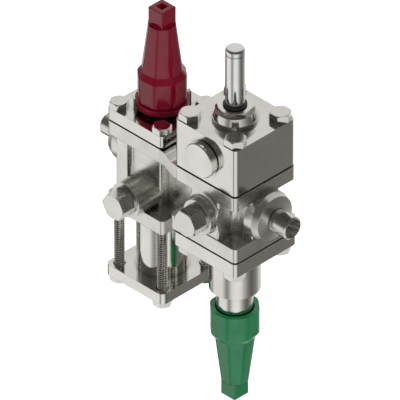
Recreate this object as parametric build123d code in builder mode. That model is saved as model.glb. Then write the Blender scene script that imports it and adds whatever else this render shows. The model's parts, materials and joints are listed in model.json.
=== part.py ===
from build123d import *
import math
import os

# Flow line: the inlet weld end is at x = 0 and the pipe axis is the X axis
left_pad = 71.2
right_pad = 77.6
stop_pad = 79.4
stop_lip = 4.0
end_reach = 34.6
column_pitch = 92.5
left_x = left_pad / 2 + end_reach
right_x = left_x + column_pitch

# Clearances between pieces
running = 0.05
clear = 0.3
seat_gap = 0.02

# Pipe stubs
pipe_radius = 11.1
pipe_wall = 2.0
pipe_insert = 9.0
spigot_step = 0.6
spigot_proud = 0.8
bevel = 1.3

# Housing pads, square, and the heights of their sealing faces
pad_thick = 14.5
pad_corner = 4.6
regulating_face = 38.2
solenoid_face = 33.8
stop_face = -36.2
strainer_face = -55.5
gasket_thick = 1.8
gasket_inset = 0.5

# Housing columns between the pads
right_arm = 17.6
left_front = 19.9
left_front_half = 17.7
left_side_half = 24.1
left_side_depth = 15.2
left_hollow = 3.4
hollow_round = 7.0
arm_round = 2.2
web_half = 10.0
web_overlap = 4.0
band_overlap = 5.0
swing_margin = 2.5

# Weld bosses on the ends of the housing
boss_radius = 24.2
boss_length = 5.4
boss_start = 4.0
nose_radius = 21.9
nose_length = 6.3
face_length = 2.5
pipe_lip = 0.6

# Chambers and flow channels
left_chamber = 15.0
right_chamber = 19.0
left_partition_top = -9.0
left_partition = 6.0
right_partition_top = 16.0
right_partition_bottom = 9.0
channel_radius = 6.0
channel_low = -28.1
channel_high = 24.0
channel_bend = 9.0

# Front ports
port_radius = 17.4
left_port_z = -28.1
left_port_front = 46.9
right_port_z = 0.0
right_port_front = 48.0
port_fillet = 4.0
port_rim = 0.2
port_thread = 8.3
port_depth = 14.0
port_drill = 4.0
plug_across = 24.0
plug_head = 14.6
plug_washer_radius = 13.6
plug_washer = 1.6
plug_shank = 12.0

# Bolts
m10_radius = 5.0
m10_across = 16.0
m10_head = 6.4
m12_radius = 6.0
m12_across = 18.0
m12_head = 7.5
thread_grip = 11.5
hole_spare = 0.8
head_turn = 0.9
left_bolt_half = 27.5
right_bolt_half = 28.7

# Valve seats and cones
seat_bore = 7.5
seat_outer = 11.0
seat_height = 5.0
seat_sunk = 3.0
seat_sunk_stop = 2.0
seat_ease = 0.8
stop_seat_bore = 8.0
stop_seat_outer = 13.0
cone_radius = 10.6
cone_height = 10.0
cone_seal_inner = 8.2
cone_seal_outer = 10.2
cone_seal_height = 1.6
cone_nut_radius = 8.0
cone_nut_height = 3.0
plug_taper = 6.9
plug_taper_end = 4.5
plug_taper_length = 5.0
spindle_radius = 5.0
spindle_foot = 6.2
spindle_clear = 0.1
foot_gap = 0.1
spindle_foot_height = 3.0
spindle_square = 7.0
spindle_square_height = 12.0
regulating_spindle_top = 126.0
stop_spindle_end = -186.0

# Bonnets of the two hand valves
bonnet_flange = 12.3
stop_flange = 14.4
bonnet_spigot_depth = 20.0
stop_spigot_depth = 14.0
neck_height = 4.1
cap_lift = 0.6
cap_step = 4.0
tower_radius = 15.4
tower_height = 23.0
packing_radius = 8.2
packing_height = 7.0
gland_depth = 5.0
gland_across = 19.0
gland_head = 6.0
ear_radius = 26.4
ear_gap = 0.4
ear_width = 5.0
ear_height = 14.0
ear_angle = 58.0
barrel_radius = 23.7
barrel_length = 47.0
barrel_edge = 0.8
cap_drop = 21.5

# Caps
cap_collar = 22.8
cap_collar_length = 25.6
cap_flare_length = 5.8
cap_cone_base = 19.0
cap_cone_top = 12.9
cap_cone_length = 48.8
cap_flat_share = 0.965
cap_corner_share = 0.4
cap_turn = 27.5
cap_tip = 17.7
cap_tip_length = 17.7
cap_tip_round = 0.7
cap_socket = 8.0
cap_socket_depth = 8.0
cap_wall = 4.4
cap_end_wall = 5.0
cap_edge = 0.6
cap_gasket = 1.2
cap_gasket_width = 1.3
cap_gasket_room = 1.0
red_ring_radius = 24.6
red_ring_height = 5.4
red_groove_radius = 21.2
red_groove_height = 1.0

# Strainer
cup_radius = 24.0
cup_wall = 6.0
cup_bottom = -120.6
cup_floor = 7.0
cup_spigot = 8.0
cup_spigot_bore = 12.5
cup_shoulder = 3.0
cup_gasket = 1.2
cup_seat_radius = 19.5
basket_radius = 11.0
basket_wall = 0.9
basket_base = 3.0
basket_gap = 0.1
basket_rim = 5.0
basket_rows = 12
basket_hole = 2.6
mesh_thick = 0.4
mesh_margin = 3.0
plate_side = 73.6
plate_thick = 11.2
plate_corner = 6.0
plate_hole_gap = 0.7

# Solenoid module
block_side = 77.0
block_top = 85.0
block_corner = 4.6
cylinder_radius = 16.5
cylinder_top = 68.0
pilot_drill = 2.0
piston_disc = 12.6
piston_disc_height = 4.0
piston_stem = 9.0
piston_head_start = 43.0
piston_head_height = 11.0
piston_skirt = 2.5
piston_groove_height = 2.4
piston_groove_depth = 1.8
piston_seal_height = 1.2
piston_cup_radius = 10.5
piston_cup_depth = 7.0
piston_spring_wire = 1.5
piston_spring_radius = 8.4
piston_spring_turns = 5
main_seat_bore = 9.0
main_seat_outer = 13.0
main_seat_sunk = 2.0
block_port_z = 61.0
block_plug_radius = 17.2
block_plug_height = 7.4
block_plug_edge = 0.8
block_plug_seal = 0.8
block_plug_seal_radius = 16.4
block_plug_thread = 10.0
block_plug_depth = 9.0
tube_radius = 9.0
tube_wall = 0.9
tube_top = 162.2
tube_top_round = 3.0
tube_foot_radius = 10.8
tube_foot_height = 11.0
tube_neck_step = 0.2
tube_neck_spare = 0.8
tube_groove_drop = 6.0
tube_groove_width = 1.6
tube_groove_depth = 0.5
thread_neck = 13.0
thread_neck_height = 10.0
washer_radius = 20.8
washer_thick = 3.4
nut_across = 32.0
nut_height = 11.6
nut_hexagon = 4.5
nut_collar_low = 20.3
nut_collar_top = 18.2
nut_corner_share = 0.567
nut_edge = 1.2
nut_turn = 45.0
coil_seal_radius = 11.0
coil_seal_height = 2.2
coil_seal_round = 0.8
pilot_seat_radius = 6.5
pilot_seat_height = 5.0
pilot_seat_sunk = 3.0
pilot_seat_tip = 4.5
armature_length = 44.0
armature_travel = 2.0
armature_stop_gap = 0.2
armature_cup_radius = 4.4
armature_cup_depth = 12.0
armature_spring_radius = 3.2
armature_spring_wire = 0.9
armature_spring_turns = 8

os.makedirs("parts", exist_ok=True)


def reach(vertex):
    """How far a sketch's corner is from its own centre, squared."""
    return vertex.X**2 + vertex.Y**2


def save(piece, name):
    """Name a finished part and write it to its own file."""
    piece.part.label = name
    export_step(piece.part, "parts/" + name + ".step")


def column_plane(column, height, down=False):
    """A plane across a column's vertical axis, facing up, or down if asked."""
    return Plane(origin=(column, 0, height), x_dir=(1, 0, 0), z_dir=(0, 0, -1 if down else 1))


def upright(column):
    """The plane through a column's axis in which turned profiles are drawn, radius by height."""
    return Plane(origin=(column, 0, 0), x_dir=(1, 0, 0), z_dir=(0, -1, 0))


def turned(column, profile):
    """Revolve a closed outline of (radius, height) points about a column's axis."""
    with BuildPart() as piece:
        with BuildSketch(upright(column)):
            Polygon(*profile, align=None)
        revolve(axis=Axis((column, 0, 0), (0, 0, 1)))
    return piece


def ring(column, inner, outer, low, high):
    """A plain ring about a column's axis."""
    return turned(column, [(inner, low), (outer, low), (outer, high), (inner, high)])


def corners(half):
    """The four bolt places around a column's axis."""
    return GridLocations(2 * half, 2 * half, 2, 2)


def square_gasket(column, side, corner, bore, low, bolt_half, bolt_radius):
    """A flat gasket between a pad and its flange, with a bore and four bolt holes."""
    with BuildPart() as piece:
        with BuildSketch(column_plane(column, low)):
            RectangleRounded(side - 2 * gasket_inset, side - 2 * gasket_inset, corner)
            Circle(bore, mode=Mode.SUBTRACT)
            with corners(bolt_half):
                Circle(bolt_radius + clear, mode=Mode.SUBTRACT)
        extrude(amount=gasket_thick)
    return piece


def hex_stud(across, head, radius, length):
    """A hexagon head standing on the XY plane with its shank below, the head's rim turned down."""
    rim = 0.58 * across
    with BuildPart(mode=Mode.PRIVATE) as piece:
        with BuildSketch():
            RegularPolygon(across / 2, 6, major_radius=False)
        extrude(amount=head)
        with BuildSketch(Plane.XZ):
            Polygon(
                (0, 0),
                (rim, 0),
                (rim, head - head_turn),
                (rim - 2 * head_turn, head),
                (0, head),
                align=None,
            )
        revolve(axis=Axis.Z, mode=Mode.INTERSECT)
        with BuildSketch():
            Circle(radius)
        extrude(amount=-length)
    return piece.part


def hex_bolts(column, seat, length, radius, across, head, bolt_half, down=False):
    """Four hexagon bolts whose heads stand on the plane at seat and whose shanks go into it."""
    stud = hex_stud(across, head, radius, length)
    with BuildPart() as piece:
        with Locations(column_plane(column, seat, down)):
            with corners(bolt_half):
                add(stud)
    return piece


def front_plug(column, height, front):
    """A hexagon port plug screwed in from the front, with its washer already under its head."""
    stud = hex_stud(plug_across, plug_head, port_thread - running, plug_shank + plug_washer)
    seat_plane = Plane(origin=(column, -front - plug_washer, height), x_dir=(1, 0, 0), z_dir=(0, -1, 0))
    with BuildPart() as piece:
        with Locations(seat_plane):
            add(stud)
    return piece


def front_washer(column, height, front):
    """The sealing washer under a port plug's head."""
    with BuildPart() as piece:
        with BuildSketch(Plane(origin=(column, -front, height), x_dir=(1, 0, 0), z_dir=(0, -1, 0))):
            Circle(plug_washer_radius)
            Circle(port_thread + clear, mode=Mode.SUBTRACT)
        extrude(amount=plug_washer)
    return piece


cap_neck = tower_radius + clear + cap_gasket_width


def cap(column, mouth, ring_height, groove_height, down=False):
    """A seal cap: soft eight-sided collar, flare and cone, a square tip with a socket, and a stepped bore."""
    sign = -1 if down else 1
    foot = ring_height + groove_height
    flare = foot + cap_collar_length
    cone = flare + cap_flare_length
    tip = cone + cap_cone_length
    top = tip + cap_tip_length
    stations = [(foot, cap_collar), (flare, cap_collar), (cone, cap_cone_base), (tip, cap_cone_top)]
    with BuildPart() as piece:
        if ring_height > 0:
            with BuildSketch(column_plane(column, mouth, down)):
                Circle(red_ring_radius)
            extrude(amount=ring_height)
            with BuildSketch(column_plane(column, mouth, down)):
                Circle(red_groove_radius)
            extrude(amount=foot)
        for lower, upper in zip(stations, stations[1:]):
            for height, radius in (lower, upper):
                with BuildSketch(column_plane(column, mouth + sign * height, down)) as section:
                    RegularPolygon(radius * cap_flat_share, 8, major_radius=False, rotation=sign * cap_turn)
                    fillet(section.vertices(), radius=radius * cap_corner_share)
            loft()
        with BuildSketch(column_plane(column, mouth + sign * tip, down)):
            RectangleRounded(cap_tip, cap_tip, cap_tip_round)
        extrude(amount=cap_tip_length)
        chamfer(piece.faces().filter_by(Axis.Z).group_by(Axis.Z)[0 if down else -1].edges(), length=cap_edge)
        with BuildSketch(column_plane(column, mouth + sign * top, down)):
            Rectangle(cap_socket, cap_socket)
        extrude(amount=-cap_socket_depth, mode=Mode.SUBTRACT)
        with BuildSketch(upright(column)):
            Polygon(
                (0, mouth),
                (cap_neck + cap_gasket_room, mouth),
                (cap_neck + cap_gasket_room, mouth + sign * (cap_step + cap_gasket)),
                (tower_radius + clear, mouth + sign * (cap_step + cap_gasket)),
                (tower_radius + clear, mouth + sign * flare),
                (cap_cone_base - cap_wall, mouth + sign * cone),
                (cap_cone_top - cap_wall, mouth + sign * (tip - cap_end_wall)),
                (0, mouth + sign * (tip - cap_end_wall)),
                align=None,
            )
        revolve(axis=Axis((column, 0, 0), (0, 0, 1)), mode=Mode.SUBTRACT)
    return piece


def boss_stations(column, pad, side):
    """Where an end's boss has its pad face, disc edge, nose edge and weld, along X."""
    face = column + side * pad / 2
    disc = face + side * boss_length
    nose = disc + side * nose_length
    return face, disc, nose, nose + side * face_length


ends = ((left_x, left_pad, -1), (right_x, right_pad, 1))
spigot_radius = pipe_radius - spigot_step

with BuildPart() as housing:
    for column, side, low, lip in (
        (left_x, left_pad, regulating_face - pad_thick, 0),
        (left_x, left_pad, strainer_face, 0),
        (right_x, right_pad, solenoid_face - pad_thick, 0),
        (right_x, stop_pad, stop_face, stop_lip),
    ):
        with BuildSketch(column_plane(column, low)):
            with Locations((-lip / 2, 0)):
                RectangleRounded(side + lip, side, pad_corner)
        extrude(amount=pad_thick)
    # Cross-shaped core between the right pads, its four pockets rounded
    with BuildSketch(column_plane(right_x, stop_face + pad_thick / 2)) as right_core:
        Rectangle(2 * right_arm, right_pad)
        Rectangle(right_pad, 2 * right_arm)
        fillet(right_core.vertices().sort_by(reach)[:4], radius=hollow_round)
        fillet(right_core.vertices().sort_by(reach)[-8:], radius=arm_round)
    extrude(amount=solenoid_face - stop_face - pad_thick)
    # Core of the left column: a wide arm to the inlet and a narrower body behind the front port
    with BuildSketch(column_plane(left_x, strainer_face + pad_thick / 2)) as left_core:
        with Locations((left_front_half, 0)):
            body_width = left_front_half + left_pad / 2 - left_side_depth / 2
            Rectangle(body_width, 2 * left_front, align=(Align.MAX, Align.CENTER))
        with Locations((-left_pad / 2 + left_side_depth / 2, 0)):
            Rectangle(left_side_depth, 2 * left_side_half)
        steps = left_core.vertices().group_by(Axis.X)[1].sort_by(Axis.Y)
        fillet(steps[1:3], radius=left_hollow)
        inlet_side = left_core.vertices().group_by(Axis.X)[0]
        fillet(inlet_side, radius=arm_round)
        fillet(left_core.vertices().group_by(Axis.X)[-1], radius=arm_round)
    extrude(amount=regulating_face - strainer_face - pad_thick)
    # Web between the columns, around the cross channel
    web_start = left_x + left_front_half - web_overlap
    web_end = right_x - right_pad / 2 + web_overlap
    with BuildSketch(Plane.XZ.offset(-web_half)) as web:
        with BuildLine():
            Polyline(
                (web_end, stop_face + pad_thick / 2),
                (web_end, solenoid_face - pad_thick / 2),
                (web_start, solenoid_face - pad_thick / 2),
                (web_start, strainer_face + pad_thick),
                (left_x + left_pad / 2, strainer_face + pad_thick),
            )
            Spline(
                (left_x + left_pad / 2, strainer_face + pad_thick),
                (web_end, stop_face + pad_thick / 2),
                tangents=[(1, 0), (1, 0)],
            )
        make_face()
    extrude(amount=2 * web_half)
    # Band that joins the two upper pads, swinging down from one to the other
    band_start = left_x + left_pad / 2 - band_overlap
    band_end = right_x - right_pad / 2 + band_overlap
    swing_start = left_x + left_pad / 2 + swing_margin
    swing_end = right_x - right_pad / 2 - swing_margin
    with BuildPart(mode=Mode.PRIVATE) as band:
        with BuildSketch(Plane.XZ.offset(-right_pad / 2)):
            with BuildLine():
                for drop in (0, pad_thick):
                    Line((band_start, regulating_face - drop), (swing_start, regulating_face - drop))
                    Spline(
                        (swing_start, regulating_face - drop),
                        (swing_end, solenoid_face - drop),
                        tangents=[(1, 0), (1, 0)],
                    )
                    Line((swing_end, solenoid_face - drop), (band_end, solenoid_face - drop))
                Line((band_start, regulating_face), (band_start, regulating_face - pad_thick))
                Line((band_end, solenoid_face), (band_end, solenoid_face - pad_thick))
            make_face()
        extrude(amount=right_pad)
        with BuildSketch(Plane.XY.offset(-left_pad)):
            Polygon(
                (band_start, -left_pad / 2),
                (band_end, -right_pad / 2),
                (band_end, right_pad / 2),
                (band_start, left_pad / 2),
                align=None,
            )
        extrude(amount=2 * left_pad, mode=Mode.INTERSECT)
    add(band.part)
    # Round bosses on the end faces, tapering to the pipes
    for column, pad, side in ends:
        face, disc, nose, weld = boss_stations(column, pad, side)
        start = face - side * boss_start
        with BuildSketch(Plane.XZ):
            Polygon(
                (start, 0),
                (start, boss_radius),
                (disc, boss_radius),
                (nose, nose_radius),
                (weld, pipe_radius + pipe_lip),
                (weld, 0),
                align=None,
            )
        revolve(axis=Axis.X)
    # Boss of the left front port
    with BuildSketch(Plane(origin=(left_x, 0, left_port_z), x_dir=(1, 0, 0), z_dir=(0, -1, 0))):
        Circle(port_radius)
    extrude(amount=left_port_front)
    # Boss of the right front port, with a hollow fillet into its arm and no wider than the arm
    arm_face = right_pad / 2
    with BuildPart(mode=Mode.PRIVATE) as boss:
        with BuildSketch(column_plane(right_x, right_port_z)) as profile:
            Rectangle(port_radius, right_port_front, align=(Align.MIN, Align.MAX))
            Rectangle(port_radius + port_fillet, arm_face, align=(Align.MIN, Align.MAX))
            inner_corner = profile.vertices().sort_by_distance((port_radius, -arm_face, 0))[0]
            fillet(inner_corner, radius=port_fillet - port_rim)
        revolve(axis=Axis((right_x, 0, right_port_z), (0, 1, 0)))
        with BuildSketch(Plane.XY.offset(right_port_z - port_radius - port_fillet)):
            with Locations((right_x, -right_port_front / 2)):
                Rectangle(2 * right_arm, right_port_front)
        extrude(amount=2 * (port_radius + port_fillet), mode=Mode.INTERSECT)
    add(boss.part)
    # Chambers, from the sealing faces down to the partitions
    for column, radius, low, high in (
        (left_x, left_chamber, left_partition_top, regulating_face),
        (left_x, left_chamber, strainer_face, left_partition_top - left_partition),
        (left_x, cup_seat_radius, strainer_face, strainer_face + cup_gasket),
        (right_x, right_chamber, right_partition_top, solenoid_face),
        (right_x, right_chamber, stop_face, right_partition_bottom),
        (left_x, seat_outer, left_partition_top - seat_sunk, left_partition_top),
        (left_x, seat_bore, left_partition_top - left_partition, left_partition_top),
        (right_x, main_seat_outer, right_partition_top - main_seat_sunk, right_partition_top),
        (right_x, stop_seat_outer, right_partition_bottom, right_partition_bottom + seat_sunk_stop),
        (right_x, stop_seat_bore, right_partition_bottom, right_partition_top),
    ):
        with BuildSketch(column_plane(column, low)):
            Circle(radius)
        extrude(amount=high - low, mode=Mode.SUBTRACT)
    # Pipe sockets and the flow bores behind them
    for column, pad, side in ends:
        weld = boss_stations(column, pad, side)[-1]
        with BuildSketch(Plane.XZ):
            Polygon(
                (weld, 0),
                (weld, spigot_radius + running),
                (weld - side * pipe_insert, spigot_radius + running),
                (weld - side * pipe_insert, pipe_radius - pipe_wall),
                (column, pipe_radius - pipe_wall),
                (column, 0),
                align=None,
            )
        revolve(axis=Axis.X, mode=Mode.SUBTRACT)
    # Cross channel from the strainer chamber up to the solenoid chamber
    channel_mid = (left_x + right_x) / 2
    with BuildLine() as channel:
        FilletPolyline(
            (left_x, 0, channel_low),
            (channel_mid, 0, channel_low),
            (channel_mid, 0, channel_high),
            (right_x, 0, channel_high),
            radius=channel_bend,
        )
    with BuildSketch(Plane.YZ.offset(left_x)):
        with Locations((0, channel_low)):
            Circle(channel_radius)
    sweep(mode=Mode.SUBTRACT)
    # Blind bolt holes in the pads
    for column, face, half, radius, down in (
        (left_x, regulating_face, left_bolt_half, m10_radius, False),
        (left_x, strainer_face, left_bolt_half, m10_radius, True),
        (right_x, solenoid_face, right_bolt_half, m12_radius, False),
        (right_x, stop_face, right_bolt_half, m12_radius, True),
    ):
        with BuildSketch(column_plane(column, face, down)):
            with corners(half):
                Circle(radius + running)
        extrude(amount=-thread_grip - hole_spare, mode=Mode.SUBTRACT)
    # Port threads and the drillings behind them
    for column, height, front in (
        (left_x, left_port_z, left_port_front),
        (right_x, right_port_z, right_port_front),
    ):
        with BuildSketch(Plane(origin=(column, -front, height), x_dir=(1, 0, 0), z_dir=(0, -1, 0))):
            Circle(port_thread)
        extrude(amount=-port_depth, mode=Mode.SUBTRACT)
        with BuildSketch(Plane(origin=(column, -front, height), x_dir=(1, 0, 0), z_dir=(0, -1, 0))):
            Circle(port_drill)
        extrude(amount=-front + left_chamber / 2, mode=Mode.SUBTRACT)
save(housing, "valve_housing")

# Pipe stubs, each with a turned-down end welded into its boss
for name, (column, pad, side) in zip(("inlet_pipe_stub", "outlet_pipe_stub"), ends):
    weld = boss_stations(column, pad, side)[-1]
    inner_end = weld - side * pipe_insert
    shoulder = weld + side * spigot_proud
    weld_end = column + side * (pad / 2 + end_reach)
    inner = pipe_radius - pipe_wall
    with BuildPart() as stub:
        with BuildSketch(Plane.XZ):
            Polygon(
                (inner_end, inner),
                (weld_end, inner),
                (weld_end, pipe_radius - bevel),
                (weld_end - side * bevel, pipe_radius),
                (shoulder, pipe_radius),
                (shoulder, spigot_radius),
                (inner_end, spigot_radius),
                align=None,
            )
        revolve(axis=Axis.X)
    save(stub, name)

# Port plugs with their washers
for name, column, height, front in (
    ("left_port_plug", left_x, left_port_z, left_port_front),
    ("right_port_plug", right_x, right_port_z, right_port_front),
):
    save(front_plug(column, height, front), name)
    save(front_washer(column, height, front), name + "_washer")


def valve_seat(column, bore, outer, height, low):
    """A seat ring with its mouth eased."""
    return turned(
        column,
        [
            (bore, low),
            (outer, low),
            (outer, low + height),
            (bore + seat_ease, low + height),
            (bore, low + height - seat_ease),
        ],
    )


def hand_valve(prefix, column, seat_face, tower_end, packing_seat, down, spindle_end):
    """The moving pieces and packing of one hand valve, measured from its seat face outwards."""
    sign = -1 if down else 1

    def out(distance):
        return seat_face + sign * distance

    closed = out(seat_gap)
    back = cone_seal_height
    top = back + cone_height
    nut_low = top - cone_nut_height
    foot_low = nut_low - spindle_foot_height
    seal = turned(
        column,
        [
            (cone_seal_inner, closed),
            (cone_seal_outer, closed),
            (cone_seal_outer, out(seat_gap + back)),
            (cone_seal_inner, out(seat_gap + back)),
        ],
    )
    save(seal, prefix + "_cone_seal")
    cone = turned(
        column,
        [
            (0, out(seat_gap - plug_taper_length)),
            (plug_taper_end, out(seat_gap - plug_taper_length)),
            (plug_taper, out(seat_gap)),
            (cone_seal_inner, out(seat_gap)),
            (cone_seal_inner, out(seat_gap + back)),
            (cone_radius, out(seat_gap + back)),
            (cone_radius, out(top)),
            (cone_nut_radius, out(top)),
            (cone_nut_radius, out(nut_low)),
            (spindle_foot + foot_gap, out(nut_low)),
            (spindle_foot + foot_gap, out(foot_low)),
            (0, out(foot_low)),
        ],
    )
    save(cone, prefix + "_cone")
    nut = turned(
        column,
        [
            (spindle_radius + foot_gap, out(nut_low)),
            (cone_nut_radius, out(nut_low)),
            (cone_nut_radius, out(top)),
            (spindle_radius + foot_gap, out(top)),
        ],
    )
    save(nut, prefix + "_cone_nut")
    with BuildPart() as spindle:
        with BuildSketch(upright(column)):
            Polygon(
                (0, out(foot_low + seat_gap)),
                (spindle_foot, out(foot_low + seat_gap)),
                (spindle_foot, out(nut_low - seat_gap)),
                (spindle_radius, out(nut_low - seat_gap)),
                (spindle_radius, spindle_end - sign * spindle_square_height),
                (0, spindle_end - sign * spindle_square_height),
                align=None,
            )
        revolve(axis=Axis((column, 0, 0), (0, 0, 1)))
        with BuildSketch(column_plane(column, spindle_end - sign * spindle_square_height, down)):
            Rectangle(spindle_square, spindle_square)
        extrude(amount=spindle_square_height)
    save(spindle, prefix + "_spindle")
    packing = turned(
        column,
        [
            (spindle_radius + running, packing_seat),
            (packing_radius, packing_seat),
            (packing_radius, packing_seat + sign * packing_height),
            (spindle_radius + running, packing_seat + sign * packing_height),
        ],
    )
    save(packing, prefix + "_packing")
    with BuildPart() as gland:
        with BuildSketch(column_plane(column, tower_end, down)):
            RegularPolygon(gland_across / 2, 6, major_radius=False)
        extrude(amount=gland_head)
        with BuildSketch(column_plane(column, tower_end, down)):
            Circle(packing_radius)
        extrude(amount=-gland_depth)
        with BuildSketch(column_plane(column, tower_end, down)):
            Circle(spindle_radius + spindle_clear)
        extrude(amount=gland_head + gland_depth, both=True, mode=Mode.SUBTRACT)
    save(gland, prefix + "_gland")


# Regulating valve on top of the left column
regulating_low = regulating_face + gasket_thick
regulating_top = regulating_low + bonnet_flange
regulating_neck = regulating_top + neck_height
regulating_mouth = regulating_neck + cap_lift
regulating_tower = regulating_mouth + cap_step + tower_height
regulating_packing = regulating_tower - gland_depth - packing_height
with BuildPart() as regulating_bonnet:
    with BuildSketch(column_plane(left_x, regulating_low)):
        RectangleRounded(left_pad, left_pad, pad_corner)
        with corners(left_bolt_half):
            Circle(m10_radius + clear, mode=Mode.SUBTRACT)
    extrude(amount=bonnet_flange)
    with BuildSketch(upright(left_x)):
        Polygon(
            (0, regulating_low - bonnet_spigot_depth),
            (left_chamber - clear, regulating_low - bonnet_spigot_depth),
            (left_chamber - clear, regulating_low),
            (cap_neck, regulating_low),
            (cap_neck, regulating_mouth + cap_step),
            (tower_radius, regulating_mouth + cap_step),
            (tower_radius, regulating_tower),
            (0, regulating_tower),
            align=None,
        )
    revolve(axis=Axis((left_x, 0, 0), (0, 0, 1)))
    # Two ears outside the cap, for a sealing wire
    with BuildSketch(column_plane(left_x, regulating_top)):
        Circle(ear_radius)
        Circle(red_ring_radius + ear_gap, mode=Mode.SUBTRACT)
        Rectangle(2 * ear_radius, ear_width, rotation=ear_angle, mode=Mode.INTERSECT)
    extrude(amount=ear_height)
    with BuildSketch(column_plane(left_x, regulating_top)):
        Circle(ear_radius)
        Rectangle(2 * ear_radius, ear_width, rotation=ear_angle, mode=Mode.INTERSECT)
    extrude(amount=neck_height)
    with BuildSketch(column_plane(left_x, regulating_low - bonnet_spigot_depth)):
        Circle(spindle_radius + spindle_clear)
    extrude(amount=regulating_tower - regulating_low + bonnet_spigot_depth, mode=Mode.SUBTRACT)
    with BuildSketch(column_plane(left_x, regulating_packing)):
        Circle(packing_radius)
    extrude(amount=gland_depth + packing_height, mode=Mode.SUBTRACT)
save(regulating_bonnet, "regulating_bonnet")
save(
    square_gasket(
        left_x,
        left_pad,
        pad_corner,
        left_chamber + clear,
        regulating_face,
        left_bolt_half,
        m10_radius,
    ),
    "regulating_bonnet_gasket",
)
save(
    hex_bolts(
        left_x,
        regulating_top,
        bonnet_flange + gasket_thick + thread_grip,
        m10_radius,
        m10_across,
        m10_head,
        left_bolt_half,
    ),
    "regulating_bonnet_bolts",
)
regulating_seat_low = left_partition_top - seat_sunk
save(valve_seat(left_x, seat_bore, seat_outer, seat_height, regulating_seat_low), "regulating_seat")
hand_valve(
    "regulating",
    left_x,
    regulating_seat_low + seat_height,
    regulating_tower,
    regulating_packing,
    False,
    regulating_spindle_top,
)
save(cap(left_x, regulating_mouth, red_ring_height, red_groove_height), "red_cap")
save(
    ring(
        left_x,
        tower_radius + clear,
        cap_neck,
        regulating_mouth + cap_step,
        regulating_mouth + cap_step + cap_gasket,
    ),
    "red_cap_gasket",
)

# Stop valve under the right column
stop_low = stop_face - gasket_thick
stop_under = stop_low - stop_flange
barrel_end = stop_under - barrel_length
green_mouth = barrel_end - cap_drop
stop_tower_end = green_mouth - cap_step - tower_height
stop_packing = stop_tower_end + gland_depth + packing_height
with BuildPart() as stop_bonnet:
    with BuildSketch(column_plane(right_x, stop_under)):
        RectangleRounded(stop_pad, stop_pad, pad_corner)
        with corners(right_bolt_half):
            Circle(m12_radius + clear, mode=Mode.SUBTRACT)
    extrude(amount=stop_flange)
    with BuildSketch(upright(right_x)):
        Polygon(
            (0, stop_low + stop_spigot_depth),
            (right_chamber - clear, stop_low + stop_spigot_depth),
            (right_chamber - clear, stop_low),
            (barrel_radius, stop_low),
            (barrel_radius, barrel_end + barrel_edge),
            (barrel_radius - barrel_edge, barrel_end),
            (cap_neck, barrel_end),
            (cap_neck, green_mouth - cap_step),
            (tower_radius, green_mouth - cap_step),
            (tower_radius, stop_tower_end),
            (0, stop_tower_end),
            align=None,
        )
    revolve(axis=Axis((right_x, 0, 0), (0, 0, 1)))
    with BuildSketch(column_plane(right_x, stop_tower_end)):
        Circle(spindle_radius + spindle_clear)
    extrude(amount=stop_low + stop_spigot_depth - stop_tower_end, mode=Mode.SUBTRACT)
    with BuildSketch(column_plane(right_x, stop_tower_end)):
        Circle(packing_radius)
    extrude(amount=gland_depth + packing_height, mode=Mode.SUBTRACT)
save(stop_bonnet, "stop_bonnet")
save(
    square_gasket(
        right_x,
        stop_pad,
        pad_corner,
        right_chamber + clear,
        stop_low,
        right_bolt_half,
        m12_radius,
    ),
    "stop_bonnet_gasket",
)
save(
    hex_bolts(
        right_x,
        stop_under,
        stop_flange + gasket_thick + thread_grip,
        m12_radius,
        m12_across,
        m12_head,
        right_bolt_half,
        down=True,
    ),
    "stop_bonnet_bolts",
)
stop_seat_top = right_partition_bottom + seat_sunk_stop
stop_seat_low = stop_seat_top - seat_height
save(
    turned(
        right_x,
        [
            (stop_seat_bore, stop_seat_low + seat_ease),
            (stop_seat_bore + seat_ease, stop_seat_low),
            (stop_seat_outer, stop_seat_low),
            (stop_seat_outer, stop_seat_top),
            (stop_seat_bore, stop_seat_top),
        ],
    ),
    "stop_seat",
)
hand_valve(
    "stop",
    right_x,
    stop_seat_low,
    stop_tower_end,
    stop_packing,
    True,
    stop_spindle_end,
)
save(cap(right_x, green_mouth, 0, 0, down=True), "green_cap")
save(
    ring(
        right_x,
        tower_radius + clear,
        cap_neck,
        green_mouth - cap_step - cap_gasket,
        green_mouth - cap_step,
    ),
    "green_cap_gasket",
)

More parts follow.
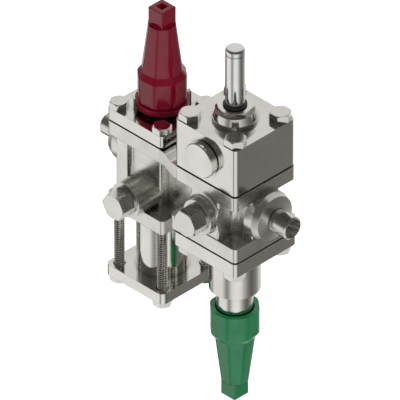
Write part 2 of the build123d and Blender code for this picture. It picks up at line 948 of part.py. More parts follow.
# Strainer under the left column
with BuildPart() as strainer_cup:
    with BuildSketch(upright(left_x)):
        Polygon(
            (0, cup_bottom),
            (cup_radius, cup_bottom),
            (cup_radius, strainer_face),
            (left_chamber - clear, strainer_face),
            (left_chamber - clear, strainer_face + cup_spigot),
            (cup_spigot_bore, strainer_face + cup_spigot),
            (cup_spigot_bore, strainer_face - cup_shoulder),
            (cup_radius - cup_wall, strainer_face - cup_shoulder),
            (cup_radius - cup_wall, cup_bottom + cup_floor),
            (0, cup_bottom + cup_floor),
            align=None,
        )
    revolve(axis=Axis((left_x, 0, 0), (0, 0, 1)))
save(strainer_cup, "strainer_cup")
save(
    ring(left_x, left_chamber, cup_seat_radius, strainer_face, strainer_face + cup_gasket),
    "strainer_cup_gasket",
)
basket_low = cup_bottom + cup_floor
basket_top = left_partition_top - left_partition - basket_gap
with BuildPart() as basket:
    with BuildSketch(column_plane(left_x, basket_low)):
        Circle(basket_radius)
    extrude(amount=basket_top - basket_low)
    with BuildSketch(column_plane(left_x, basket_low + basket_base)):
        Circle(basket_radius - basket_wall)
    extrude(amount=basket_top - basket_low, mode=Mode.SUBTRACT)
    row_pitch = (basket_top - basket_low - 2 * basket_rim) / basket_rows
    for row in range(basket_rows):
        height = basket_low + basket_rim + (row + 0.5) * row_pitch
        with BuildSketch(Plane(origin=(left_x, 0, height), x_dir=(1, 0, 0), z_dir=(0, -1, 0))):
            Circle(basket_hole)
        extrude(amount=basket_radius + clear, both=True, mode=Mode.SUBTRACT)
        with BuildSketch(Plane(origin=(left_x, 0, height), x_dir=(0, 1, 0), z_dir=(1, 0, 0))):
            Circle(basket_hole)
        extrude(amount=basket_radius + clear, both=True, mode=Mode.SUBTRACT)
save(basket, "strainer_basket")
save(
    ring(
        left_x,
        basket_radius,
        basket_radius + mesh_thick,
        basket_low + mesh_margin,
        basket_top - mesh_margin,
    ),
    "strainer_mesh",
)
plate_low = cup_bottom - plate_thick
with BuildPart() as strainer_plate:
    with BuildSketch(column_plane(left_x, plate_low)):
        RectangleRounded(plate_side, plate_side, plate_corner)
        with corners(left_bolt_half):
            Circle(m10_radius + plate_hole_gap, mode=Mode.SUBTRACT)
    extrude(amount=plate_thick)
save(strainer_plate, "strainer_plate")
save(
    hex_bolts(
        left_x,
        plate_low,
        strainer_face - plate_low + thread_grip,
        m10_radius,
        m10_across,
        m10_head,
        left_bolt_half,
        down=True,
    ),
    "strainer_bolts",
)

# Solenoid valve on top of the right column
block_low = solenoid_face + gasket_thick
pilot_low = block_top - pilot_seat_sunk
with BuildPart() as solenoid_block:
    with BuildSketch(column_plane(right_x, block_low)):
        RectangleRounded(block_side, block_side, block_corner)
        with corners(right_bolt_half):
            Circle(m12_radius + clear, mode=Mode.SUBTRACT)
    extrude(amount=block_top - block_low)
    with BuildSketch(column_plane(right_x, block_top)):
        Circle(thread_neck)
    extrude(amount=thread_neck_height)
    with BuildSketch(column_plane(right_x, block_top)):
        Circle(tube_foot_radius + running)
    extrude(amount=thread_neck_height, mode=Mode.SUBTRACT)
    with BuildSketch(column_plane(right_x, pilot_low)):
        Circle(pilot_seat_radius)
    extrude(amount=pilot_seat_sunk, mode=Mode.SUBTRACT)
    with BuildSketch(column_plane(right_x, cylinder_top)):
        Circle(pilot_drill)
    extrude(amount=pilot_low - cylinder_top, mode=Mode.SUBTRACT)
    with BuildSketch(column_plane(right_x, block_low)):
        Circle(cylinder_radius)
    extrude(amount=cylinder_top - block_low, mode=Mode.SUBTRACT)
    block_front = Plane(origin=(right_x, -block_side / 2, block_port_z), x_dir=(1, 0, 0), z_dir=(0, -1, 0))
    with BuildSketch(block_front):
        Circle(block_plug_thread)
    extrude(amount=-block_plug_depth, mode=Mode.SUBTRACT)
    with BuildSketch(block_front):
        Circle(port_drill)
    extrude(amount=-block_side / 2 + cylinder_radius / 2, mode=Mode.SUBTRACT)
save(solenoid_block, "solenoid_block")
save(
    square_gasket(
        right_x,
        block_side,
        block_corner,
        right_chamber,
        solenoid_face,
        right_bolt_half,
        m12_radius,
    ),
    "solenoid_block_gasket",
)
save(
    hex_bolts(
        right_x,
        block_top,
        block_top - solenoid_face + thread_grip,
        m12_radius,
        m12_across,
        m12_head,
        right_bolt_half,
    ),
    "solenoid_block_bolts",
)
with BuildPart() as block_seal:
    with BuildSketch(block_front):
        Circle(block_plug_seal_radius)
        Circle(block_plug_thread, mode=Mode.SUBTRACT)
    extrude(amount=block_plug_seal)
save(block_seal, "block_plug_seal")
with BuildPart() as block_plug:
    with BuildSketch(block_front.offset(block_plug_seal)):
        Circle(block_plug_radius)
    extrude(amount=block_plug_height)
    chamfer(block_plug.faces().sort_by(Axis.Y)[0].edges(), length=block_plug_edge)
    with BuildSketch(block_front.offset(block_plug_seal)):
        Circle(block_plug_thread - running)
    extrude(amount=-block_plug_depth)
save(block_plug, "block_plug")

# Main seat and piston
main_seat_low = right_partition_top - main_seat_sunk
save(valve_seat(right_x, main_seat_bore, main_seat_outer, seat_height, main_seat_low), "main_seat")
piston_face = main_seat_low + seat_height + seat_gap
disc_low = piston_face + piston_seal_height
disc_top = disc_low + piston_disc_height
head_top = piston_head_start + piston_head_height
spring_seat = head_top - piston_cup_depth
head_radius = cylinder_radius - clear
groove_low = piston_head_start + piston_skirt
save(
    ring(right_x, main_seat_bore + seat_ease, piston_disc, piston_face, disc_low),
    "piston_seal",
)
save(
    turned(
        right_x,
        [
            (0, piston_face),
            (main_seat_bore + seat_ease, piston_face),
            (main_seat_bore + seat_ease, disc_low),
            (piston_disc, disc_low),
            (piston_disc, disc_top),
            (piston_stem, disc_top),
            (piston_stem, piston_head_start),
            (head_radius, piston_head_start),
            (head_radius, groove_low),
            (head_radius - piston_groove_depth, groove_low),
            (head_radius - piston_groove_depth, groove_low + piston_groove_height),
            (head_radius, groove_low + piston_groove_height),
            (head_radius, head_top),
            (piston_cup_radius, head_top),
            (piston_cup_radius, spring_seat),
            (0, spring_seat),
        ],
    ),
    "piston",
)
save(
    ring(
        right_x,
        head_radius - piston_groove_depth,
        cylinder_radius - running,
        groove_low,
        groove_low + piston_groove_height,
    ),
    "piston_ring",
)


def coil_spring(column, radius, wire, low, high, turns):
    """A compression spring standing between two faces, one wire radius clear of each."""
    start = low + wire / 2 + seat_gap
    height = high - low - wire - 2 * seat_gap
    with BuildPart() as piece:
        with BuildLine():
            path = Helix(pitch=height / turns, height=height, radius=radius, center=(column, 0, start))
        with BuildSketch(Plane(origin=path @ 0, z_dir=path % 0)):
            Circle(wire / 2)
        sweep(is_frenet=True)
    return piece


save(
    coil_spring(
        right_x,
        piston_spring_radius,
        piston_spring_wire,
        spring_seat,
        cylinder_top,
        piston_spring_turns,
    ),
    "piston_spring",
)

# Pilot seat, armature and its tube
pilot_top = pilot_low + pilot_seat_height
save(
    turned(
        right_x,
        [
            (pilot_drill, pilot_low),
            (pilot_seat_radius, pilot_low),
            (pilot_seat_radius, block_top),
            (pilot_seat_tip, pilot_top),
            (pilot_drill, pilot_top),
        ],
    ),
    "pilot_seat",
)
armature_low = pilot_top + seat_gap
armature_top = armature_low + armature_length
armature_seat = armature_top - armature_cup_depth
tube_inner = tube_radius - tube_wall
armature_radius = tube_inner - clear
save(
    turned(
        right_x,
        [
            (0, armature_low),
            (armature_radius, armature_low),
            (armature_radius, armature_top),
            (armature_cup_radius, armature_top),
            (armature_cup_radius, armature_seat),
            (0, armature_seat),
        ],
    ),
    "armature",
)
core_low = armature_top + armature_travel + armature_stop_gap
save(
    coil_spring(
        right_x,
        armature_spring_radius,
        armature_spring_wire,
        armature_seat,
        core_low,
        armature_spring_turns,
    ),
    "armature_spring",
)
groove_mid = tube_top - tube_groove_drop
tube_neck = tube_radius - tube_neck_step
foot_top = block_top + tube_foot_height
nut_low = block_top + washer_thick
nut_top = nut_low + nut_height
seal_top = nut_top + coil_seal_height
with BuildPart() as armature_tube:
    with BuildSketch(upright(right_x)):
        Polygon(
            (0, core_low),
            (tube_inner, core_low),
            (tube_inner, block_top),
            (tube_foot_radius, block_top),
            (tube_foot_radius, foot_top),
            (tube_neck, foot_top),
            (tube_neck, seal_top + tube_neck_spare),
            (tube_radius, seal_top + tube_neck_spare),
            (tube_radius, groove_mid - tube_groove_width / 2),
            (tube_radius - tube_groove_depth, groove_mid - tube_groove_width / 2),
            (tube_radius - tube_groove_depth, groove_mid + tube_groove_width / 2),
            (tube_radius, groove_mid + tube_groove_width / 2),
            (tube_radius, tube_top),
            (0, tube_top),
            align=None,
        )
    revolve(axis=Axis((right_x, 0, 0), (0, 0, 1)))
    fillet(armature_tube.faces().sort_by(Axis.Z)[-1].edges(), radius=tube_top_round)
save(armature_tube, "armature_tube")
save(
    ring(right_x, thread_neck + running, washer_radius, block_top, block_top + washer_thick),
    "tube_washer",
)
collar_top = nut_top - nut_hexagon
nut_rim = nut_across * nut_corner_share
with BuildPart() as tube_nut:
    with BuildSketch(column_plane(right_x, collar_top)):
        RegularPolygon(nut_across / 2, 6, major_radius=False, rotation=nut_turn)
    extrude(amount=nut_hexagon)
    with BuildSketch(upright(right_x)):
        Polygon(
            (0, collar_top),
            (nut_rim, collar_top),
            (nut_rim, nut_top - nut_edge),
            (nut_rim - 2 * nut_edge, nut_top),
            (0, nut_top),
            align=None,
        )
    revolve(axis=Axis((right_x, 0, 0), (0, 0, 1)), mode=Mode.INTERSECT)
    with BuildSketch(upright(right_x)):
        Polygon(
            (0, nut_low),
            (nut_collar_low, nut_low),
            (nut_collar_top, collar_top),
            (0, collar_top),
            align=None,
        )
    revolve(axis=Axis((right_x, 0, 0), (0, 0, 1)))
    with BuildSketch(column_plane(right_x, nut_low)):
        Circle(thread_neck + running)
    extrude(amount=foot_top - nut_low, mode=Mode.SUBTRACT)
    with BuildSketch(column_plane(right_x, nut_low)):
        Circle(tube_radius + running)
    extrude(amount=nut_top - nut_low, mode=Mode.SUBTRACT)
save(tube_nut, "tube_nut")
with BuildPart() as coil_seal:
    add(ring(right_x, tube_neck, coil_seal_radius, nut_top, seal_top).part)
    rim_edges = coil_seal.edges().filter_by(GeomType.CIRCLE).group_by(SortBy.RADIUS)[-1]
    fillet(rim_edges, radius=coil_seal_round)
save(coil_seal, "coil_seal")
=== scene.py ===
import json
import math

import bmesh
import bpy
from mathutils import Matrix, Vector


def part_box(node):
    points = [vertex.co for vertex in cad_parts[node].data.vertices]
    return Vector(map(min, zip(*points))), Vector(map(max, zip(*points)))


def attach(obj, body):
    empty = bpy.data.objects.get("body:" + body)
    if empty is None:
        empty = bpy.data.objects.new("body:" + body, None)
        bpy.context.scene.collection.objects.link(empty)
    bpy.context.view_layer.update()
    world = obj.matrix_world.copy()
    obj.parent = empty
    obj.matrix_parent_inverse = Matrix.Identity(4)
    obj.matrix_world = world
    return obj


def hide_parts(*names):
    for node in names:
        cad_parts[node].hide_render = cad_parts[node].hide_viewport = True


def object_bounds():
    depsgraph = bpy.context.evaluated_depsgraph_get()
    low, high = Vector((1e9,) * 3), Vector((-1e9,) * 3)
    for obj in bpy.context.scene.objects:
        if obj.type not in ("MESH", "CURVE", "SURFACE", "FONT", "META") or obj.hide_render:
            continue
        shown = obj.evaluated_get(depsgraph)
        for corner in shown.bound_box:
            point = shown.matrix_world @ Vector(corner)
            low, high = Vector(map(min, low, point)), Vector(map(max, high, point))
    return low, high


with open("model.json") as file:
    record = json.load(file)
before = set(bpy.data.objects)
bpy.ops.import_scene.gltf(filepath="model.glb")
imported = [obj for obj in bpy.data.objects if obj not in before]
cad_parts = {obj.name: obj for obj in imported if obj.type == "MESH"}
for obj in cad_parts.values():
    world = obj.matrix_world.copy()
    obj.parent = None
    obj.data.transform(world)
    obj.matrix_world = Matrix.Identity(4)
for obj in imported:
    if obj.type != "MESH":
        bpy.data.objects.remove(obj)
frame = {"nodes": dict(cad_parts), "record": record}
cad_low, cad_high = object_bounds()
nodes = frame["nodes"]
scene = bpy.context.scene
scene.view_settings.view_transform = "Standard"

# Outlet pipe: a material radius between its bore and its outside
bore_reach = 0.0095

# Strainer rods
thread_root = 0.0039
thread_crest = 0.005
thread_pitch = 0.0024
thread_sides = 28
rows_per_turn = 10
shank_overlap = 0.001
same_height = 1e-5

# Floor, lower than the green cap's tip when the cap is unscrewed
floor_half = 6.0
cap_travel = 0.024
floor_gap = 0.002
floor_colour = (0.88, 0.88, 0.87, 1)
floor_roughness = 0.9
floor_glow_strength = 0.75

# Light tent
tent_radius = 40.0
fade_low = -0.25
fade_high = 0.30
warm_share = 0.1
warm_red = 0.6
warm_blue = 0.8

# Lamps
lamp_target = (0.12, 0, 0)

# Camera
lens_mm = 1600
sensor_mm = 36
clip_end = 100
frame_width = 0.3594
aim_left = 0.0228
aim_front = 0.0216
aim_drop = 0.0055


def box_middle(node):
    """The middle of a node's box."""
    low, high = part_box(node)
    return (low + high) / 2


# Material building blocks
def new_material(name):
    """An empty node material with its main shader linked: the material, its tree and the shader."""
    made = bpy.data.materials.new(name)
    made.use_nodes = True
    tree = made.node_tree
    tree.nodes.clear()
    out = tree.nodes.new("ShaderNodeOutputMaterial")
    shader = tree.nodes.new("ShaderNodeBsdfPrincipled")
    tree.links.new(shader.outputs["BSDF"], out.inputs["Surface"])
    return made, tree, shader


def node_of(tree, kind):
    """The first node of a kind in a tree."""
    return next(node for node in tree.nodes if node.type == kind)


def vector_step(tree, operation, vector, amount):
    """A vector changed by another vector."""
    made = tree.nodes.new("ShaderNodeVectorMath")
    made.operation = operation
    made.inputs[1].default_value = amount
    tree.links.new(vector, made.inputs[0])
    return made.outputs["Vector"]


def place(tree, stretch=(1.0, 1.0, 1.0)):
    """Object coordinates in metres, stretched along the axes."""
    where = tree.nodes.new("ShaderNodeTexCoord")
    return vector_step(tree, "MULTIPLY", where.outputs["Object"], stretch)


def noise(tree, vector, scale, detail=3.0, rough=0.55):
    """A noise pattern read at a place."""
    made = tree.nodes.new("ShaderNodeTexNoise")
    made.inputs["Scale"].default_value = scale
    made.inputs["Detail"].default_value = detail
    made.inputs["Roughness"].default_value = rough
    tree.links.new(vector, made.inputs["Vector"])
    return made.outputs["Fac"]


def spread(tree, value, low, high, from_low=0.3, from_high=0.7):
    """A pattern's values moved into a range."""
    made = tree.nodes.new("ShaderNodeMapRange")
    made.inputs["From Min"].default_value = from_low
    made.inputs["From Max"].default_value = from_high
    made.inputs["To Min"].default_value = low
    made.inputs["To Max"].default_value = high
    tree.links.new(value, made.inputs["Value"])
    return made.outputs["Result"]


def tint(tree, value, dark, light, dark_end=0.35, light_end=0.65):
    """A colour between two colours, by a pattern."""
    made = tree.nodes.new("ShaderNodeValToRGB")
    ends = made.color_ramp.elements
    for end, position, colour in ((ends[0], dark_end, dark), (ends[1], light_end, light)):
        end.position = position
        end.color = (*colour, 1)
    tree.links.new(value, made.inputs["Fac"])
    return made.outputs["Color"]


def soft_edge(tree, radius, samples=6):
    """Normals rounded over the edges."""
    made = tree.nodes.new("ShaderNodeBevel")
    made.samples = samples
    made.inputs["Radius"].default_value = radius
    return made.outputs["Normal"]


def relief(tree, value, depth, strength, under=None):
    """A bump from a pattern, on top of an earlier one."""
    made = tree.nodes.new("ShaderNodeBump")
    made.inputs["Distance"].default_value = depth
    made.inputs["Strength"].default_value = strength
    tree.links.new(value, made.inputs["Height"])
    if under is not None:
        tree.links.new(under, made.inputs["Normal"])
    return made.outputs["Normal"]


def painted_corner_shade(tree, colour, reach=0.006, darkest=0.62, samples=8):
    """Painted shade: a colour darkened in corners and where pieces meet, as contact shadow."""
    corner = tree.nodes.new("ShaderNodeAmbientOcclusion")
    corner.samples = samples
    corner.inputs["Distance"].default_value = reach
    shade = spread(tree, corner.outputs["AO"], darkest, 1.0, from_low=0.35, from_high=0.85)
    made = tree.nodes.new("ShaderNodeVectorMath")
    made.operation = "SCALE"
    tree.links.new(colour, made.inputs[0])
    tree.links.new(shade, made.inputs["Scale"])
    return made.outputs["Vector"]


def skin(name, colours, roughness, tone, gloss, metallic=0.0, corner_shade=False):
    """A material whose colour and roughness drift between two values each.

    tone and gloss are the scale and detail of the two noise patterns.
    """
    made, tree, shader = new_material(name)
    shader.inputs["Metallic"].default_value = metallic
    here = place(tree)
    colour = tint(tree, noise(tree, here, *tone), *colours)
    # painted shade: the colour is darkened in corners and where pieces meet
    if corner_shade:
        colour = painted_corner_shade(tree, colour)
    tree.links.new(colour, shader.inputs["Base Color"])
    tree.links.new(spread(tree, noise(tree, here, *gloss), *roughness), shader.inputs["Roughness"])
    return made, tree, shader, here


def steel(name, colours, roughness, wave, grain, edge=0.0004):
    """Polished stainless steel: cloudy polish, slow waves, fine grain, soft edges and painted shade in
    corners.
    """
    made, tree, shader, here = skin(
        name, colours, roughness, tone=(38.0, 3.0), gloss=(90.0, 5.0), metallic=1.0, corner_shade=True
    )
    waves = noise(tree, here, scale=45.0, detail=2.0)
    grains = noise(tree, here, scale=2600.0, detail=2.0)
    normal = soft_edge(tree, edge)
    normal = relief(tree, waves, depth=0.0006, strength=wave, under=normal)
    normal = relief(tree, grains, depth=0.00004, strength=grain, under=normal)
    tree.links.new(normal, shader.inputs["Normal"])
    return made


def bored(name, colours, axis, radius):
    """Polished pipe whose bore is duller, with painted reflection streaks along its length."""
    made = steel(name, colours, roughness=(0.06, 0.14), wave=0.03, grain=0.08)
    tree = made.node_tree
    shader = node_of(tree, "BSDF_PRINCIPLED")
    out = node_of(tree, "OUTPUT_MATERIAL")
    here = tree.nodes.new("ShaderNodeTexCoord")
    offset = vector_step(tree, "SUBTRACT", here.outputs["Object"], (0.0, axis.y, axis.z))
    across = vector_step(tree, "MULTIPLY", offset, (0.0, 1.0, 1.0))
    length = tree.nodes.new("ShaderNodeVectorMath")
    length.operation = "LENGTH"
    tree.links.new(across, length.inputs[0])
    inside = tree.nodes.new("ShaderNodeMath")
    inside.operation = "LESS_THAN"
    inside.inputs[1].default_value = radius
    tree.links.new(length.outputs["Value"], inside.inputs[0])
    bore = tree.nodes.new("ShaderNodeBsdfPrincipled")
    bore.inputs["Metallic"].default_value = 0.25
    streaks = noise(tree, place(tree, stretch=(0.12, 1.0, 1.0)), scale=420.0)
    # painted reflection: light and dark streaks in the bore's colour stand in for light reflected deep
    # in the pipe
    painted_bore_streaks = tint(tree, streaks, dark=(0.05, 0.048, 0.045), light=(0.40, 0.385, 0.37))
    tree.links.new(painted_bore_streaks, bore.inputs["Base Color"])
    tree.links.new(spread(tree, streaks, low=0.25, high=0.5), bore.inputs["Roughness"])
    blend = tree.nodes.new("ShaderNodeMixShader")
    tree.links.new(inside.outputs["Value"], blend.inputs["Fac"])
    tree.links.new(shader.outputs["BSDF"], blend.inputs[1])
    tree.links.new(bore.outputs["BSDF"], blend.inputs[2])
    tree.links.new(blend.outputs["Shader"], out.inputs["Surface"])
    return made


def turned_steel(name, colours, roughness, lines):
    """Lathe-turned steel: fine rings that follow each other along the height."""
    made, tree, shader, _ = skin(
        name, colours, roughness, tone=(50.0, 3.0), gloss=(120.0, 4.0), metallic=1.0
    )
    rings = noise(tree, place(tree, stretch=(6.0, 6.0, 900.0)), scale=6.0, rough=0.7)
    normal = relief(tree, rings, depth=0.00004, strength=lines, under=soft_edge(tree, 0.0003))
    tree.links.new(normal, shader.inputs["Normal"])
    return made


def coated(name, colours, roughness):
    """A gloss-lacquered metal cap: slight colour drift and orange-peel relief."""
    made, tree, shader, here = skin(name, colours, roughness, tone=(55.0, 4.0), gloss=(180.0, 4.0))
    peel = noise(tree, here, scale=420.0, detail=2.0)
    normal = relief(tree, peel, depth=0.00012, strength=0.25, under=soft_edge(tree, 0.0009))
    tree.links.new(normal, shader.inputs["Normal"])
    return made


def moulded(name, colours, roughness, grain, scale=900.0, shine=0.5):
    """Rubber, fibre or plastic: mottled colour and a fine grained skin."""
    made, tree, shader, here = skin(name, colours, roughness, tone=(160.0, 5.0), gloss=(300.0, 4.0))
    shader.inputs["Specular IOR Level"].default_value = shine
    grains = noise(tree, here, scale, detail=4.0)
    normal = relief(tree, grains, depth=0.0001, strength=grain, under=soft_edge(tree, 0.0002))
    tree.links.new(normal, shader.inputs["Normal"])
    return made


def woven(name, colours, roughness):
    """Fine wire cloth: two crossing sets of ridges."""
    made, tree, shader, here = skin(
        name, colours, roughness, tone=(200.0, 4.0), gloss=(500.0, 3.0), metallic=1.0
    )
    normal = None
    for direction in ("Z", "DIAGONAL"):
        wires = tree.nodes.new("ShaderNodeTexWave")
        wires.bands_direction = direction
        wires.inputs["Scale"].default_value = 320.0
        tree.links.new(here, wires.inputs["Vector"])
        normal = relief(tree, wires.outputs["Fac"], depth=0.0001, strength=0.8, under=normal)
    tree.links.new(normal, shader.inputs["Normal"])
    return made


def rolled_thread(name, colours):
    """Rolled screw threads: duller steel, made in copies whose colours paint highlight on the crests and
    shade in the grooves.
    """
    made, tree, shader, here = skin(
        name, colours, roughness=(0.18, 0.32), tone=(150.0, 4.0), gloss=(400.0, 3.0), metallic=1.0
    )
    grains = noise(tree, here, scale=1800.0, detail=2.0)
    tree.links.new(relief(tree, grains, depth=0.00004, strength=0.2), shader.inputs["Normal"])
    return made


# Looks: how each material is made, and its colours from dark to light, roughness and relief
looks = {
    "cast_stainless": (
        steel,
        {
            "colours": ((0.66, 0.65, 0.62), (0.74, 0.73, 0.70)),
            "roughness": (0.20, 0.32),
            "wave": 0.08,
            "grain": 0.25,
            "edge": 0.0007,
        },
    ),
    "machined_stainless": (
        steel,
        {
            "colours": ((0.70, 0.69, 0.66), (0.76, 0.75, 0.72)),
            "roughness": (0.07, 0.13),
            "wave": 0.03,
            "grain": 0.10,
        },
    ),
    "pipe_stainless": (
        bored,
        {
            "colours": ((0.58, 0.57, 0.55), (0.68, 0.67, 0.65)),
            "axis": box_middle("outlet_pipe_stub"),
            "radius": bore_reach,
        },
    ),
    "bolt_stainless": (
        steel,
        {
            "colours": ((0.68, 0.67, 0.64), (0.75, 0.74, 0.71)),
            "roughness": (0.08, 0.16),
            "wave": 0.03,
            "grain": 0.10,
            "edge": 0.0003,
        },
    ),
    "port_washer": (
        steel,
        {
            "colours": ((0.70, 0.69, 0.66), (0.78, 0.77, 0.74)),
            "roughness": (0.14, 0.26),
            "wave": 0.04,
            "grain": 0.2,
            "edge": 0.0002,
        },
    ),
    "gasket": (
        moulded,
        {
            "colours": ((0.004, 0.004, 0.004), (0.010, 0.010, 0.009)),
            "roughness": (0.6, 0.85),
            "grain": 0.5,
            "shine": 0.1,
        },
    ),
    "red_cap": (
        coated,
        {"colours": ((0.19, 0.0006, 0.014), (0.23, 0.0012, 0.021)), "roughness": (0.12, 0.22)},
    ),
    "green_cap": (
        coated,
        {"colours": ((0.011, 0.205, 0.075), (0.016, 0.240, 0.092)), "roughness": (0.12, 0.22)},
    ),
    "inner_steel": (
        turned_steel,
        {
            "colours": ((0.58, 0.57, 0.55), (0.66, 0.65, 0.63)),
            "roughness": (0.16, 0.30),
            "lines": 0.5,
        },
    ),
    "seal_plastic": (
        moulded,
        {
            "colours": ((0.76, 0.75, 0.70), (0.86, 0.85, 0.81)),
            "roughness": (0.35, 0.5),
            "grain": 0.15,
        },
    ),
    "strainer_steel": (
        woven,
        {"colours": ((0.45, 0.45, 0.44), (0.60, 0.60, 0.59)), "roughness": (0.3, 0.5)},
    ),
    "spring_steel": (
        steel,
        {
            "colours": ((0.42, 0.42, 0.42), (0.52, 0.52, 0.52)),
            "roughness": (0.2, 0.35),
            "wave": 0.02,
            "grain": 0.4,
            "edge": 0.0001,
        },
    ),
    "armature_tube": (
        steel,
        {
            "colours": ((0.74, 0.74, 0.74), (0.80, 0.80, 0.80)),
            "roughness": (0.04, 0.09),
            "wave": 0.02,
            "grain": 0.04,
        },
    ),
    "coil_seal": (
        moulded,
        {
            "colours": ((0.012, 0.012, 0.012), (0.030, 0.030, 0.029)),
            "roughness": (0.4, 0.6),
            "grain": 0.35,
            "scale": 500.0,
        },
    ),
}
materials = {name: maker(name, **values) for name, (maker, values) in looks.items()}

for entry in frame["record"]["subparts"]:
    target = nodes[entry["node"]]
    look = materials[entry["material_slot"]]
    if not target.material_slots:
        target.data.materials.append(look)
    for slot in target.material_slots:
        slot.material = look


# Strainer rods: real screw threads, with the heads of the CAD bolts kept
def threaded_shank(mesh, x, y, low, high):
    """Add a screw-threaded rod, closed at both ends, to a mesh being built."""
    groove_end = (thread_root + thread_crest) / 2
    rows = int((high - low) / thread_pitch * rows_per_turn)
    rings = []
    for row in range(rows + 1):
        height = low + (high - low) * row / rows
        ring = []
        for step in range(thread_sides):
            angle = 2 * math.pi * step / thread_sides
            phase = (height / thread_pitch - step / thread_sides) % 1.0
            lift = 1 - abs(2 * phase - 1)
            radius = thread_root + (thread_crest - thread_root) * lift
            point = (x + radius * math.cos(angle), y + radius * math.sin(angle), height)
            ring.append(mesh.verts.new(point))
        rings.append(ring)
    for lower, upper in zip(rings, rings[1:]):
        for step in range(thread_sides):
            after = (step + 1) % thread_sides
            flank = mesh.faces.new((lower[step], lower[after], upper[after], upper[step]))
            middle = flank.calc_center_median()
            out = (middle - Vector((x, y, middle.z))).length
            # crest flanks take the steel with painted highlight, groove flanks the steel with painted
            # shade
            flank.material_index = 1 if out > groove_end else 2
    mesh.faces.new(reversed(rings[0]))
    mesh.faces.new(rings[-1])


def half_way(values):
    """The value half way between the least and the greatest."""
    return (max(values) + min(values)) / 2


bolt_low, bolt_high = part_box("strainer_bolts")
plate_low, plate_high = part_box("strainer_plate")
head_face = plate_low.z
centre = (bolt_low + bolt_high) / 2
source = bmesh.new()
source.from_mesh(nodes["strainer_bolts"].data)
heads = [v.co.copy() for v in source.verts if v.co.z < head_face - same_height]
shanks = [f for f in source.faces if any(v.co.z > head_face + same_height for v in f.verts)]
for face in shanks:
    source.faces.remove(face)
for vertex in [v for v in source.verts if not v.link_faces]:
    source.verts.remove(vertex)
spots = []
for side_x in (-1, 1):
    for side_y in (-1, 1):
        near = [v for v in heads if (v.x - centre.x) * side_x > 0 and (v.y - centre.y) * side_y > 0]
        spots.append((half_way([v.x for v in near]), half_way([v.y for v in near])))
for spot_x, spot_y in spots:
    threaded_shank(source, spot_x, spot_y, head_face - shank_overlap, bolt_high.z)
rod_mesh = bpy.data.meshes.new("threaded_rods")
rod_mesh.materials.append(materials["bolt_stainless"])
# Lit and shaded copies of the thread steel: crests painted light as highlight, grooves painted dark as
# shade
rod_mesh.materials.append(rolled_thread("rod_crest_painted_highlight", ((0.92, 0.90, 0.86), (0.98, 0.96, 0.92))))
rod_mesh.materials.append(rolled_thread("rod_groove_painted_shade", ((0.30, 0.29, 0.28), (0.42, 0.41, 0.39))))
source.to_mesh(rod_mesh)
source.free()
rods = bpy.data.objects.new("threaded_rods", rod_mesh)
scene.collection.objects.link(rods)
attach(rods, "base")
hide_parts("strainer_bolts")

# Floor, seen white by the camera, with the part's faint shadow
floor_level = cad_low.z - cap_travel - floor_gap
corners = [
    (x * floor_half, y * floor_half, floor_level) for x, y in ((-1, -1), (1, -1), (1, 1), (-1, 1))
]
floor_mesh = bpy.data.meshes.new("floor")
floor_mesh.from_pydata(corners, [], [(0, 1, 2, 3)])
floor = bpy.data.objects.new("floor", floor_mesh)
scene.collection.objects.link(floor)
floor_made, floor_tree, floor_shader = new_material("floor")
floor_shader.inputs["Base Color"].default_value = floor_colour
floor_shader.inputs["Roughness"].default_value = floor_roughness
floor_glow = floor_tree.nodes.new("ShaderNodeEmission")
floor_glow.inputs["Strength"].default_value = floor_glow_strength
floor_sum = floor_tree.nodes.new("ShaderNodeAddShader")
floor_pick = floor_tree.nodes.new("ShaderNodeMixShader")
floor_path = floor_tree.nodes.new("ShaderNodeLightPath")
floor_out = node_of(floor_tree, "OUTPUT_MATERIAL")
floor_tree.links.new(floor_shader.outputs["BSDF"], floor_sum.inputs[0])
floor_tree.links.new(floor_glow.outputs["Emission"], floor_sum.inputs[1])
floor_tree.links.new(floor_path.outputs["Is Camera Ray"], floor_pick.inputs["Fac"])
floor_tree.links.new(floor_shader.outputs["BSDF"], floor_pick.inputs[1])
floor_tree.links.new(floor_sum.outputs["Shader"], floor_pick.inputs[2])
floor_tree.links.new(floor_pick.outputs["Shader"], floor_out.inputs["Surface"])
floor_mesh.materials.append(floor_made)
floor.visible_glossy = False

# Plain white world: the camera sees it directly, the metal through the light tent
world = bpy.data.worlds.new("studio")
scene.world = world
world.use_nodes = True
sky = world.node_tree
sky.nodes.clear()
sky_out = sky.nodes.new("ShaderNodeOutputWorld")
white = sky.nodes.new("ShaderNodeBackground")
white.inputs["Color"].default_value = (1, 1, 1, 1)
white.inputs["Strength"].default_value = 1.0
sky.links.new(white.outputs["Background"], sky_out.inputs["Surface"])

# Light tent: a scrim far around the part that lets the white through more or less by direction
ball = bmesh.new()
bmesh.ops.create_icosphere(ball, subdivisions=3, radius=tent_radius)
tent_mesh = bpy.data.meshes.new("light_tent")
ball.to_mesh(tent_mesh)
ball.free()
tent = bpy.data.objects.new("light_tent", tent_mesh)
scene.collection.objects.link(tent)
tent.visible_camera = False
tent_made = bpy.data.materials.new("light_tent")
tent_made.use_nodes = True
tent_mesh.materials.append(tent_made)
cloth = tent_made.node_tree
cloth.nodes.clear()
cloth_out = cloth.nodes.new("ShaderNodeOutputMaterial")
scrim = cloth.nodes.new("ShaderNodeBsdfTransparent")
cloth.links.new(scrim.outputs["BSDF"], cloth_out.inputs["Surface"])

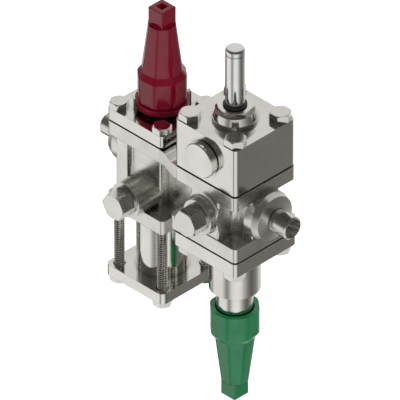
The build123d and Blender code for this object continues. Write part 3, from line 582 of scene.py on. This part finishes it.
# Direction from the part to a point of the tent: its compass angle and its height
cloth_place = cloth.nodes.new("ShaderNodeTexCoord")
direction = cloth.nodes.new("ShaderNodeVectorMath")
direction.operation = "NORMALIZE"
cloth.links.new(cloth_place.outputs["Object"], direction.inputs[0])
along = cloth.nodes.new("ShaderNodeSeparateXYZ")
cloth.links.new(direction.outputs["Vector"], along.inputs["Vector"])
turn = cloth.nodes.new("ShaderNodeMath")
turn.operation = "ARCTAN2"
cloth.links.new(along.outputs["Y"], turn.inputs[0])
cloth.links.new(along.outputs["X"], turn.inputs[1])
compass = spread(cloth, turn.outputs["Value"], 0.0, 1.0, from_low=-math.pi, from_high=math.pi)
climb = cloth.nodes.new("ShaderNodeMapRange")
climb.interpolation_type = "SMOOTHSTEP"
climb.inputs["From Min"].default_value = fade_low
climb.inputs["From Max"].default_value = fade_high
cloth.links.new(along.outputs["Z"], climb.inputs["Value"])


def scrim_ring(stops):
    """The light that a ring of the scrim lets through, from (degrees from +X, share) stops."""
    ramp = cloth.nodes.new("ShaderNodeValToRGB")
    elements = ramp.color_ramp.elements
    elements.remove(elements[-1])
    for index, (degrees, share) in enumerate(stops):
        position = (degrees + 180) / 360
        element = elements[0] if index == 0 else elements.new(position)
        element.position = position
        warmth = warm_share * (1 - share)
        element.color = (share * (1 + warm_red * warmth), share, share * (1 - warm_blue * warmth), 1)
    cloth.links.new(compass, ramp.inputs["Fac"])
    return ramp.outputs["Color"]


low_ring = scrim_ring(
    (
        (-180, 0.12),
        (-168, 0.14),
        (-158, 0.60),
        (-148, 0.92),
        (-102, 0.90),
        (-88, 0.45),
        (-79, 0.28),
        (-70, 0.50),
        (-58, 0.85),
        (-40, 0.96),
        (-20, 0.92),
        (-4, 0.55),
        (14, 0.26),
        (32, 0.135),
        (46, 0.19),
        (64, 0.27),
        (84, 0.62),
        (104, 0.75),
        (150, 0.75),
        (168, 0.30),
        (180, 0.12),
    )
)
high_ring = scrim_ring(
    (
        (-180, 0.45),
        (-165, 0.22),
        (-140, 0.12),
        (-100, 0.08),
        (-60, 0.14),
        (-20, 0.10),
        (20, 0.08),
        (55, 0.12),
        (75, 0.45),
        (100, 0.78),
        (150, 0.80),
        (168, 0.65),
        (180, 0.45),
    )
)
blend_heights = cloth.nodes.new("ShaderNodeMix")
blend_heights.data_type = "RGBA"
cloth.links.new(climb.outputs["Result"], blend_heights.inputs["Factor"])
cloth.links.new(low_ring, blend_heights.inputs["A"])
cloth.links.new(high_ring, blend_heights.inputs["B"])
cloth.links.new(blend_heights.outputs["Result"], scrim.inputs["Color"])


def softbox(name, spot, size, power):
    """A large soft lamp, turned to the part and not mirrored in the metal."""
    lamp = bpy.data.lights.new(name, "AREA")
    lamp.shape = "DISK"
    lamp.size = size
    lamp.energy = power
    holder = bpy.data.objects.new(name, lamp)
    scene.collection.objects.link(holder)
    holder.location = spot
    holder.rotation_euler = (Vector(lamp_target) - Vector(spot)).to_track_quat("-Z", "Y").to_euler()
    holder.visible_glossy = False


softbox("key", spot=(2.1, -0.8, 1.5), size=1.2, power=36)
softbox("fill", spot=(-1.2, -1.5, 0.9), size=1.4, power=8)

# Camera: a very long lens from the front right and above, as the picture has no perspective
aim_point = Vector((box_middle("armature_tube").x - aim_left, -aim_front, -aim_drop))
away = Vector((1, -1, 1)).normalized()
camera_data = bpy.data.cameras.new("camera")
camera_data.lens = lens_mm
camera_data.sensor_width = sensor_mm
camera_data.clip_end = clip_end
camera = bpy.data.objects.new("camera", camera_data)
scene.collection.objects.link(camera)
camera.location = aim_point + away * (frame_width * lens_mm / sensor_mm)
camera.rotation_euler = (-away).to_track_quat("-Z", "Y").to_euler()
scene.camera = camera
